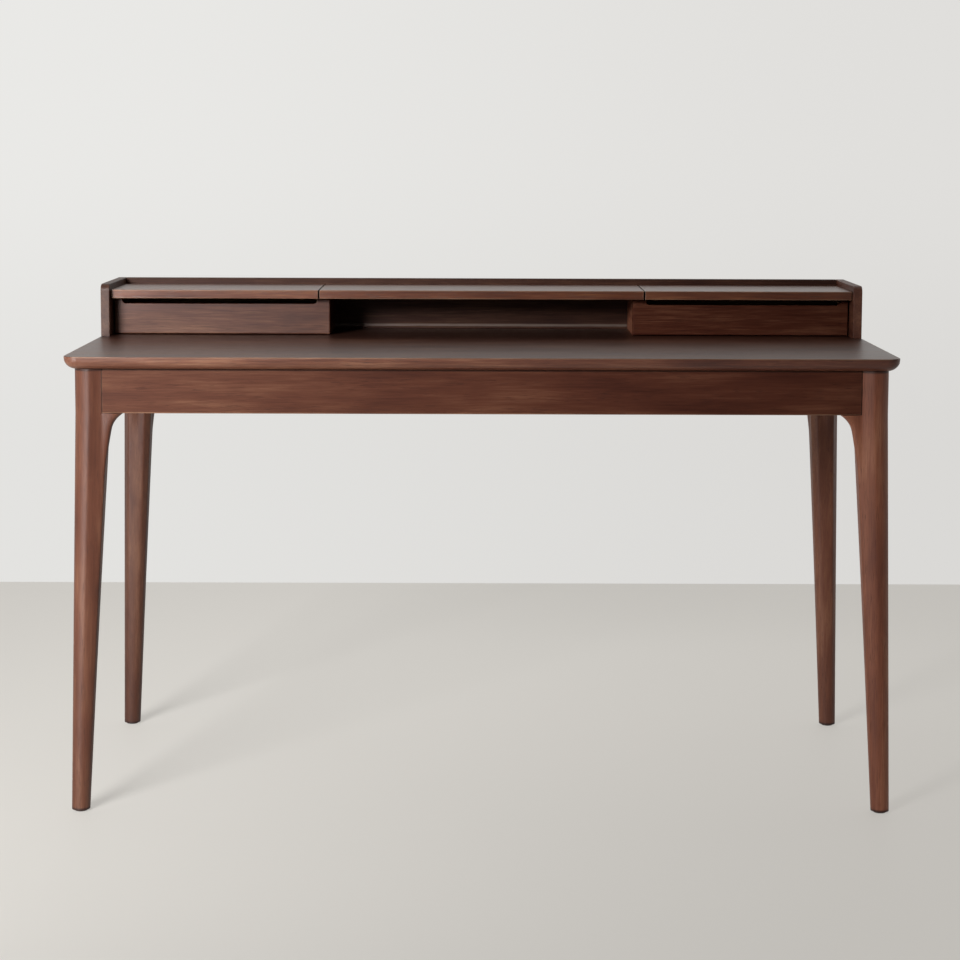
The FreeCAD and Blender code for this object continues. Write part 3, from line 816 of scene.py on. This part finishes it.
def dress_boards(rows: Rows, first_seed: int) -> List[str]:
    """Gives each board of a table its own wood.

    Args:
        rows: Each board's node, finish, grain and tone.
        first_seed: The seed of the first board's figure.

    Returns:
        The boards' nodes.
    """
    for seed, (node, finish, grain, tone) in enumerate(rows, first_seed):
        dress(node, Board(finish, node, grain, seed).finish(tone))
    return [row[0] for row in rows]


def solids_of(node: str) -> List[List[Vector]]:
    """The corners of each separate solid of a node.

    Args:
        node: The node's name.

    Returns:
        One list of corners for each solid.
    """
    work = bmesh.new()
    work.from_mesh(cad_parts[node].data)
    bmesh.ops.remove_doubles(work, verts=work.verts, dist=SAME_PLACE)
    work.verts.index_update()
    met, solids = set(), []
    for start in work.verts:
        if start.index in met:
            continue
        met.add(start.index)
        to_visit, solid = [start], []
        while to_visit:
            vertex = to_visit.pop()
            solid.append(vertex.co.copy())
            for edge in vertex.link_edges:
                other = edge.other_vert(vertex)
                if other.index not in met:
                    met.add(other.index)
                    to_visit.append(other)
        solids.append(solid)
    work.free()
    return solids


def ends_of(solid: Sequence[Vector]) -> Tuple[Vector, Vector]:
    """The lowest and highest corner of a solid's box.

    Args:
        solid: The solid's corners.

    Returns:
        The two corners.
    """
    axes = list(zip(*solid))
    return Vector([min(axis) for axis in axes]), Vector([max(axis) for axis in axes])


class Recipe(Tree):
    """A Geometry Nodes tree that sets one small part at every point."""

    def __init__(self, name: str) -> None:
        """Makes a tree with points for its input.

        Args:
            name: The tree's name.
        """
        super().__init__(bpy.data.node_groups.new(name, "GeometryNodeTree"))
        self.sizes: Dict[str, float] = {}
        self.socket_names: Dict[str, str] = {}
        self._declare("Points", "INPUT", "NodeSocketGeometry")
        self._declare("Parts", "OUTPUT", "NodeSocketGeometry")
        self.given = self.node("NodeGroupInput")

    def _declare(self, name: str, way: str, kind: str) -> str:
        """Adds a named socket to the tree.

        Args:
            name: What the socket is called.
            way: INPUT or OUTPUT.
            kind: The socket's type.

        Returns:
            The socket's identifier.
        """
        return self.tree.interface.new_socket(name, in_out=way, socket_type=kind).identifier

    def input(self, name: str, value: float) -> Expr:
        """A named input for a size.

        Args:
            name: The size's name.
            value: The size in metres.

        Returns:
            The size as a number of the tree.
        """
        self.socket_names[name] = self._declare(name, "INPUT", "NodeSocketFloat")
        self.sizes[name] = value
        return self.number(self.socket(self.given.outputs, self.socket_names[name]))

    def at(self) -> Triple:
        """Where each corner or face is."""
        return self.parts(self.node("GeometryNodeInputPosition").outputs[0])

    def placed(self, mesh: Any, place: Any, chosen: Any = True) -> Socket:
        """Moves a mesh's corners.

        Args:
            mesh: The mesh.
            place: Where they go.
            chosen: Which of them move.

        Returns:
            The mesh.
        """
        values = {"Geometry": mesh, "Selection": chosen, "Position": place}
        return self.node("GeometryNodeSetPosition", None, values).outputs[0]

    def push(self, mesh: Any, mode: Element, chosen: Any, down: Number) -> bpy.types.Node:
        """Extrudes the chosen faces or edges downwards.

        Args:
            mesh: The mesh.
            mode: Faces or edges.
            chosen: Which of them.
            down: How far.

        Returns:
            The extrude node.
        """
        values = {
            "Mesh": mesh,
            "Selection": chosen,
            "Offset": self.vector(0.0, 0.0, -1.0),
            "Offset Scale": down,
            "Individual": False,
        }
        return self.node("GeometryNodeExtrudeMesh", {"mode": mode.value}, values)

    def pinch(self, mesh: Any, chosen: Any, share: Number) -> Socket:
        """Draws the chosen corners towards the part's axis, to a share of their distance."""
        x, y, z = self.at()
        return self.placed(mesh, self.vector(x * share, y * share, z), chosen)

    def set_at_points(self, part: Any, seed: int) -> Socket:
        """Sets a part at every point, along the point's facing and turned at random.

        Args:
            part: The part's mesh.
            seed: Picks the random turns.

        Returns:
            The instances.
        """
        facing = self.node(
            "GeometryNodeInputNamedAttribute", {"data_type": "FLOAT_VECTOR"}, {"Name": "facing"}
        )
        stood = self.node(
            "FunctionNodeAlignRotationToVector", {"axis": "Z"}, {"Vector": facing.outputs[0]}
        )
        turn = self.node(
            "FunctionNodeRandomValue",
            {"data_type": "FLOAT"},
            {"Min_001": 0.0, "Max_001": 2.0 * math.pi, "Seed": seed},
        )
        spin = self.node(
            "FunctionNodeEulerToRotation",
            None,
            {0: self.vector(0.0, 0.0, self.number(self.socket(turn.outputs, "Value_001")))},
        )
        turned = self.node(
            "FunctionNodeRotateRotation",
            {"rotation_space": "LOCAL"},
            {"Rotation": stood.outputs[0], "Rotate By": spin.outputs[0]},
        )
        values = {
            "Points": self.given.outputs["Points"],
            "Instance": part,
            "Rotation": turned.outputs[0],
        }
        return self.node("GeometryNodeInstanceOnPoints", None, values).outputs[0]

    def end(self, parts: Any, material: Material) -> None:
        """Ends the tree in plain geometry of one material.

        Args:
            parts: The instances.
            material: Their material.
        """
        plain = self.node("GeometryNodeRealizeInstances", None, {"Geometry": parts})
        dressed = self.node(
            "GeometryNodeSetMaterial", None, {"Geometry": plain.outputs[0], "Material": material}
        )
        self.node("NodeGroupOutput", None, {"Parts": dressed.outputs[0]})

    def make(
        self, name: str, places: Sequence[Vector], facings: Sequence[Vector]
    ) -> bpy.types.Object:
        """Runs the tree on points and keeps its result as a plain mesh.

        Args:
            name: The new piece's name.
            places: Where the parts stand.
            facings: Which way each part's upper end faces.

        Returns:
            The piece.
        """
        seeds = bpy.data.meshes.new(name + "_points")
        seeds.from_pydata([tuple(place) for place in places], [], [])
        attribute = seeds.attributes.new("facing", "FLOAT_VECTOR", "POINT")
        for index, facing in enumerate(facings):
            attribute.data[index].vector = facing
        carrier = bpy.data.objects.new(name + "_carrier", seeds)
        bpy.context.scene.collection.objects.link(carrier)
        modifier = carrier.modifiers.new("parts", "NODES")
        modifier.node_group = self.tree
        for size, value in self.sizes.items():
            modifier[self.socket_names[size]] = value
        graph = bpy.context.evaluated_depsgraph_get()
        mesh = bpy.data.meshes.new_from_object(carrier.evaluated_get(graph))
        carrier.modifiers.remove(modifier)
        bpy.data.objects.remove(carrier)
        tidy(mesh)
        piece = bpy.data.objects.new(name, mesh)
        bpy.context.scene.collection.objects.link(piece)
        return piece


def tidy(mesh: bpy.types.Mesh) -> None:
    """Joins a mesh's doubled corners, points its faces outwards and drops its empty slots.

    Args:
        mesh: The mesh.
    """
    for index in reversed(range(len(mesh.materials))):
        if mesh.materials[index] is None:
            mesh.materials.pop(index=index)
    for face in mesh.polygons:
        face.material_index = 0
    work = bmesh.new()
    work.from_mesh(mesh)
    bmesh.ops.remove_doubles(work, verts=work.verts, dist=SAME_PLACE)
    bmesh.ops.recalc_face_normals(work, faces=work.faces)
    work.to_mesh(mesh)
    work.free()


@dataclass(frozen=True)
class ScrewSet:
    """Countersunk wood screws with cross recesses, in place of one node's plain ones."""

    node: str
    head_radius: float = 0.004
    shank_radius: float = 0.002
    head_height: float = 0.0024
    length: float = 0.014
    recess_depth: float = 0.0013
    turn_seed: int = 7
    grid_lines: int = 6
    arm_width: float = 0.3
    arm_reach: float = 0.7
    arm_share: float = 0.62

    def build(self) -> str:
        """Makes the screws where the node has them.

        Returns:
            The piece's name.
        """
        places, facings = zip(*(self.head_of(solid) for solid in solids_of(self.node)))
        recipe = Recipe(self.node + "_recipe")
        head = recipe.input("Head Radius", self.head_radius)
        shank = recipe.input("Shank Radius", self.shank_radius)
        height = recipe.input("Head Height", self.head_height)
        length = recipe.input("Length", self.length)
        depth = recipe.input("Recess Depth", self.recess_depth)
        lines = {"Vertices X": self.grid_lines, "Vertices Y": self.grid_lines}
        grid = recipe.node("GeometryNodeMeshGrid", None, {"Size X": 2.0, "Size Y": 2.0, **lines})
        x, y, _ = recipe.at()
        cross = self._within(x, self.arm_width) * self._within(y, self.arm_reach)
        cross = cross + self._within(y, self.arm_width) * self._within(x, self.arm_reach)
        sunk = recipe.push(grid.outputs["Mesh"], Element.FACES, cross, depth)
        x, y, z = recipe.at()
        x, y = self._drawn_in(x), self._drawn_in(y)
        # The square grid becomes a round head.
        rounded = recipe.vector(
            x * (1.0 - y * y * 0.5).root() * head, y * (1.0 - x * x * 0.5).root() * head, z
        )
        body = recipe.placed(sunk.outputs["Mesh"], rounded)
        # The head's rim is the edges with one face. It grows into the cone, the shank and the tip.
        sides = recipe.node("GeometryNodeInputMeshEdgeNeighbors")
        chosen: Any = (1.5 - recipe.number(sides.outputs["Face Count"])).over(0.0)
        for down, share in ((height, shank / head), (length - height - head, 1.0), (head, 0.0)):
            grown = recipe.push(body, Element.EDGES, chosen, down)
            chosen = grown.outputs["Top"]
            body = recipe.pinch(grown.outputs["Mesh"], chosen, share)
        recipe.end(recipe.set_at_points(body, self.turn_seed), STEEL.material())
        piece = recipe.make(self.node + "_cross_head", places, facings)
        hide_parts(self.node)
        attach(piece, "desk")
        return piece.name

    @staticmethod
    def _within(place: Expr, reach: float) -> Expr:
        """1 where a place is nearer the middle than a reach."""
        return (reach - place.size()).over(0.0)

    def _drawn_in(self, place: Expr) -> Expr:
        """A place on the grid, with the recess's arms made narrower."""
        return place * (self.arm_share + (1.0 - self.arm_share) * place.size().over(self.arm_width))

    @staticmethod
    def head_of(solid: Sequence[Vector]) -> Tuple[Vector, Vector]:
        """The middle of a plain screw's head and the way it faces.

        Args:
            solid: The screw's corners.

        Returns:
            The head's middle and its outward direction.
        """
        low, high = ends_of(solid)
        axis = max(range(3), key=lambda index: high[index] - low[index])
        middle, size = (low + high) / 2, high - low

        def spread(end: float) -> float:
            """How wide the screw is at one end."""
            ring = [corner for corner in solid if abs(corner[axis] - end) < 10 * SAME_PLACE]
            return max((corner - middle).length for corner in ring) - size[axis] / 2

        facing = Vector((0.0, 0.0, 0.0))
        facing[axis] = 1.0 if spread(high[axis]) > spread(low[axis]) else -1.0
        return middle + facing * size[axis] / 2, facing


@dataclass(frozen=True)
class FeltPads:
    """Pressed felt dots with soft rims, in place of one node's plain ones."""

    node: str
    radius: float = 0.0032
    thickness: float = 0.0012
    roundness: float = 0.35
    unevenness: float = 0.00012
    turn_seed: int = 11
    segments: int = 32
    rings: int = 18
    tufts: Point = (7.0, 7.0, 3.0)
    least_square: float = 1e-6
    least_height: float = 1e-4

    def build(self) -> str:
        """Makes the dots where the node has them.

        Returns:
            The piece's name.
        """
        places = [sum(ends_of(solid), Vector()) / 2 for solid in solids_of(self.node)]
        recipe = Recipe(self.node + "_recipe")
        radius = recipe.input("Radius", self.radius)
        thickness = recipe.input("Thickness", self.thickness)
        uneven = recipe.input("Unevenness", self.unevenness)
        cuts = {"Segments": self.segments, "Rings": self.rings, "Radius": 1.0}
        ball = recipe.node("GeometryNodeMeshUVSphere", None, cuts)
        x, y, z = recipe.at()
        tuft = (recipe.noise((x, y, z), self.tufts) - 0.5) * 2.0 * uneven
        reach = (x * x + y * y + self.least_square).root()
        wide = reach ** (self.roundness - 1.0) * (radius - uneven)
        tall = (z.size() + self.least_height) ** (self.roundness - 1.0)
        tall = tall * (thickness * 0.5 - uneven) * (1.0 + tuft / (thickness * 0.5))
        side_swell = 1.0 + tuft / radius
        pressed = recipe.placed(
            ball.outputs["Mesh"],
            recipe.vector(x * wide * side_swell, y * wide * side_swell, z * tall),
        )
        recipe.end(recipe.set_at_points(pressed, self.turn_seed), FELT.material())
        up = [Vector((0.0, 0.0, 1.0))] * len(places)
        piece = recipe.make(self.node + "_felt", places, up)
        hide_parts(self.node)
        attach(piece, "desk")
        return piece.name


@dataclass(frozen=True)
class Lamp:
    """A soft box that the camera doesn't see, with its power in watts and its beam in degrees."""

    name: str
    place: Point
    aim: Point
    size: Span
    power: float
    spread: float

    def build(self) -> None:
        """Stands the lamp at its place and points it at its aim."""
        data = bpy.data.lights.new(self.name, "AREA")
        data.shape, data.energy, data.spread = "RECTANGLE", self.power, math.radians(self.spread)
        data.size, data.size_y = self.size
        lamp = bpy.data.objects.new(self.name, data)
        lamp.location = self.place
        beam = Vector(self.aim) - Vector(self.place)
        lamp.rotation_euler = beam.to_track_quat("-Z", "Y").to_euler()
        lamp.visible_camera = False
        bpy.context.scene.collection.objects.link(lamp)


@dataclass
class Studio:
    """The camera, the pale floor and wall, and the soft light, most of it from the left."""

    camera_place: Point = (-0.0124, -3.920, 1.1351)
    camera_pitch: float = 5.807
    camera_yaw: float = 0.140
    camera_roll: float = 0.189
    lens: float = 82.02
    sensor: float = 36.0
    shift: float = -0.12
    floor_rear: float = 1.655
    floor_side: float = 7.0
    floor_front: float = -6.0
    floor_colour: Colour = (0.75, 0.725, 0.68)
    floor_mottle: float = 0.97
    floor_cells: Point = (0.8, 0.8, 1.0)
    floor_roughness: float = 0.6
    floor_glow: float = 0.56
    wall_left: Colour = (0.82, 0.815, 0.795)
    wall_right: Colour = (0.745, 0.735, 0.715)
    wall_turn: float = 0.24
    wall_foot: float = 0.94
    wall_foot_height: float = 0.14
    wall_rise: Span = (-0.2, 0.3)
    wall_below: float = 0.35
    horizon: Span = (-0.05, 0.02)
    room_colour: Colour = (1.0, 0.985, 0.96)
    room_least: float = 0.07
    room_rear: float = 0.4
    rear_rise: Span = (-0.1, 0.55)
    room_left: float = 0.3
    left_rise: Span = (0.55, 1.0)
    room_right: float = 0.4
    right_rise: Span = (0.6, 1.0)
    side_mirrored: float = 0.4
    lamps: Tuple[Lamp, ...] = (
        Lamp("window", (-1.95, -2.9, 1.72), (-0.95, 0.0, 0.6), (1.2, 0.8), 22.3, 60.0),
        Lamp("low_window", (-1.6, -1.7, 0.15), (-0.9, -0.2, 0.7), (1.3, 0.5), 8.0, 95.0),
        Lamp("ceiling", (0.1, -0.7, 3.6), (0.1, -0.3, 0.0), (3.5, 3.0), 6.3, 140.0),
    )

    def build(self) -> None:
        """Makes the camera, the floor, the lamps and the world."""
        self._camera()
        self._floor()
        for lamp in self.lamps:
            lamp.build()
        self._world()

    def _camera(self) -> None:
        """The camera, at the photograph's place."""
        data = bpy.data.cameras.new("camera")
        data.lens, data.sensor_width, data.shift_y = self.lens, self.sensor, self.shift
        camera = bpy.data.objects.new("camera", data)
        turn = Matrix.Rotation(math.radians(90.0 - self.camera_pitch), 4, "X")
        roll = Matrix.Rotation(math.radians(self.camera_roll), 4, "Z")
        yaw = Matrix.Rotation(math.radians(-self.camera_yaw), 4, "Z")
        camera.matrix_world = Matrix.Translation(self.camera_place) @ yaw @ turn @ roll
        bpy.context.scene.collection.objects.link(camera)
        bpy.context.scene.camera = camera

    def _floor(self) -> None:
        """The floor, which ends at the wall's foot."""
        side, front, rear = self.floor_side, self.floor_front, self.floor_rear
        mesh = bpy.data.meshes.new("floor")
        corners = [(-side, front, 0.0), (side, front, 0.0), (side, rear, 0.0), (-side, rear, 0.0)]
        mesh.from_pydata(corners, [], [(0, 1, 2, 3)])
        floor = bpy.data.objects.new("floor", mesh)
        bpy.context.scene.collection.objects.link(floor)
        shader = Shader("floor_paint")
        mottle = shader.noise(shader.place(), self.floor_cells)
        darker = tuple(self.floor_mottle * part for part in self.floor_colour)
        colour = shader.mix(mottle, self.floor_colour, darker)
        mesh.materials.append(shader.glow(colour, self.floor_roughness, self.floor_glow))

    def _world(self) -> None:
        """A pale wall to look at and to mirror, and a room bright at the back and the sides."""
        world = bpy.data.worlds.new("room")
        world.use_nodes = True
        world.node_tree.nodes.clear()
        tree = Tree(world.node_tree)
        side, depth, height = tree.parts(tree.node("ShaderNodeTexCoord").outputs["Generated"])
        seen, mirrored, through = tree.rays()
        sides = (0.0 - side).step_up(*self.left_rise) * self.room_left
        sides = sides + side.step_up(*self.right_rise) * self.room_right
        level = self.room_least + depth.step_up(*self.rear_rise) * self.room_rear
        level = level + sides * (1.0 - mirrored * (1.0 - self.side_mirrored))
        room = tree.node(
            "ShaderNodeBackground", None, {"Color": (*self.room_colour, 1.0), "Strength": level}
        )
        turn = side.step_up(-self.wall_turn, self.wall_turn)
        tint = tree.mix(turn, self.wall_left, self.wall_right)
        foot = (0.0 - height).step_up(0.0, self.wall_foot_height)
        tint = tree.mix(foot, tint, tree.tinted(tint, (self.wall_foot,) * 3))
        wall = tree.node("ShaderNodeBackground", None, {"Color": tint})
        above = self.wall_below + height.step_up(*self.horizon) * (1.0 - self.wall_below)
        pale = seen + (mirrored + through) * depth.step_up(*self.wall_rise) * above
        shown = tree.node(
            "ShaderNodeMixShader", None, {0: pale, 1: room.outputs[0], 2: wall.outputs[0]}
        )
        tree.node("ShaderNodeOutputWorld", None, {"Surface": shown.outputs[0]})
        bpy.context.scene.world = world
        bpy.context.scene.view_settings.view_transform = "Standard"


@dataclass
class Base:
    """The top, the legs, the aprons and what holds them together."""

    boards: Rows = (
        ("desk_top", TOP, Grain.X, 0.67),
        ("front_left_leg", TURNED, Grain.Z, 0.9),
        ("front_right_leg", TURNED, Grain.Z, 2.4),
        ("rear_left_leg", TURNED, Grain.Z, 0.68),
        ("rear_right_leg", TURNED, Grain.Z, 1.3),
        ("front_apron", APRON, Grain.X, 0.75),
        ("rear_apron", APRON, Grain.X, 0.8),
        ("left_apron", APRON, Grain.Y, 0.9),
        ("right_apron", APRON, Grain.Y, 0.85),
    )
    inner: Rows = (
        *(
            (f"{end}_{hand}_corner_block", BEECH, Grain.X, 1.0)
            for end in ("front", "rear")
            for hand in ("left", "right")
        ),
        ("centre_bearer", BEECH, Grain.Y, 1.0),
        ("apron_dowels", BEECH, Grain.X, 1.0),
    )
    board_seed: int = 1
    inner_seed: int = 20
    steel: Tuple[str, ...] = ("corner_bolts", "corner_washers", "corner_nuts", "top_angles")
    screws: ScrewSet = ScrewSet("top_angle_screws")

    def build(self) -> List[str]:
        """Dresses the base.

        Returns:
            The nodes that are done.
        """
        wooden = dress_boards(self.boards, self.board_seed)
        wooden += dress_boards(self.inner, self.inner_seed)
        for node in self.steel:
            dress(node, STEEL.material())
        dress("foot_glides", NYLON.material())
        return [*wooden, *self.steel, "foot_glides", self.screws.build()]


@dataclass
class Hutch:
    """The hutch's fixed boards, and the strips inside it."""

    boards: Rows = (
        ("left_side_panel", PANEL, Grain.Y, 0.44),
        ("right_side_panel", PANEL, Grain.Y, 1.15),
        # The back panel's low tone paints shade inside the cubby.
        ("back_panel", BACK, Grain.X, 0.45),
        ("left_divider", DEEP, Grain.Y, 0.8),
        ("right_divider", PANEL, Grain.Y, 2.4),
        ("centre_board", LID, Grain.X, 1.0),
    )
    inner: Rows = (
        *(
            (f"{hand}_{place}_{piece}", BEECH, Grain.Y, 1.0)
            for piece in ("lid_rest", "runner")
            for hand in ("left", "right")
            for place in ("inner", "outer")
        ),
        ("drawer_stops", BEECH, Grain.Y, 1.0),
        ("hutch_dowels", BEECH, Grain.Z, 1.0),
    )
    board_seed: int = 40
    inner_seed: int = 60
    screws: Tuple[ScrewSet, ...] = (
        ScrewSet("hutch_screws", length=0.048),
        ScrewSet("runner_screws", head_radius=0.0028, shank_radius=0.0015, recess_depth=0.001),
    )
    pads: FeltPads = FeltPads("lid_rest_pads")

    def build(self) -> List[str]:
        """Dresses the hutch.

        Returns:
            The nodes that are done.
        """
        wooden = dress_boards(self.boards, self.board_seed)
        wooden += dress_boards(self.inner, self.inner_seed)
        dress("lid_bushes", BRASS.material())
        screws = [row.build() for row in self.screws]
        return [*wooden, *screws, "lid_bushes", self.pads.build()]


@dataclass
class DrawerAndLid:
    """One side's drawer and the lid over it."""

    hand: str
    seed: int
    front_finish: WoodFinish
    front_tone: float
    lid_finish: WoodFinish
    box_seed_step: int = 3
    dowel_seed_step: int = 8

    def build(self) -> List[str]:
        """Dresses the drawer and the lid.

        Returns:
            The nodes that are done.
        """
        drawer = self.hand + "_drawer_"
        lid, pins = self.hand + "_lid", self.hand + "_lid_pins"
        shown = (
            (drawer + "front", self.front_finish, Grain.X, self.front_tone),
            (lid, self.lid_finish, Grain.X, 1.0),
        )
        box = (
            (drawer + "inner_side", BOX_WOOD, Grain.Y, 1.0),
            (drawer + "outer_side", BOX_WOOD, Grain.Y, 1.0),
            (drawer + "back", BOX_WOOD, Grain.X, 1.0),
            (drawer + "bottom", BOX_WOOD, Grain.X, 1.0),
        )
        dowels = ((drawer + "dowels", BEECH, Grain.Y, 1.0),)
        wooden = dress_boards(shown, self.seed)
        wooden += dress_boards(box, self.seed + self.box_seed_step)
        wooden += dress_boards(dowels, self.seed + self.dowel_seed_step)
        dress(pins, BRASS.material())
        return [*wooden, pins]


def main() -> None:
    """Builds the studio and the desk."""
    logging.basicConfig(level=logging.INFO, format="%(name)s: %(message)s")
    Studio().build()
    left = DrawerAndLid("left", 80, PANEL, 0.84, LID)
    # The right drawer front's darker, redder copy and its lower tone paint shade on it.
    right = DrawerAndLid("right", 100, DEEP_SHADED_RED, 0.67, replace(LID, gloss=0.72))
    for assembly in (Base(), Hutch(), left, right):
        for piece in assembly.build():
            LOG.info("%s", piece)


if __name__ == "__main__":
    main()
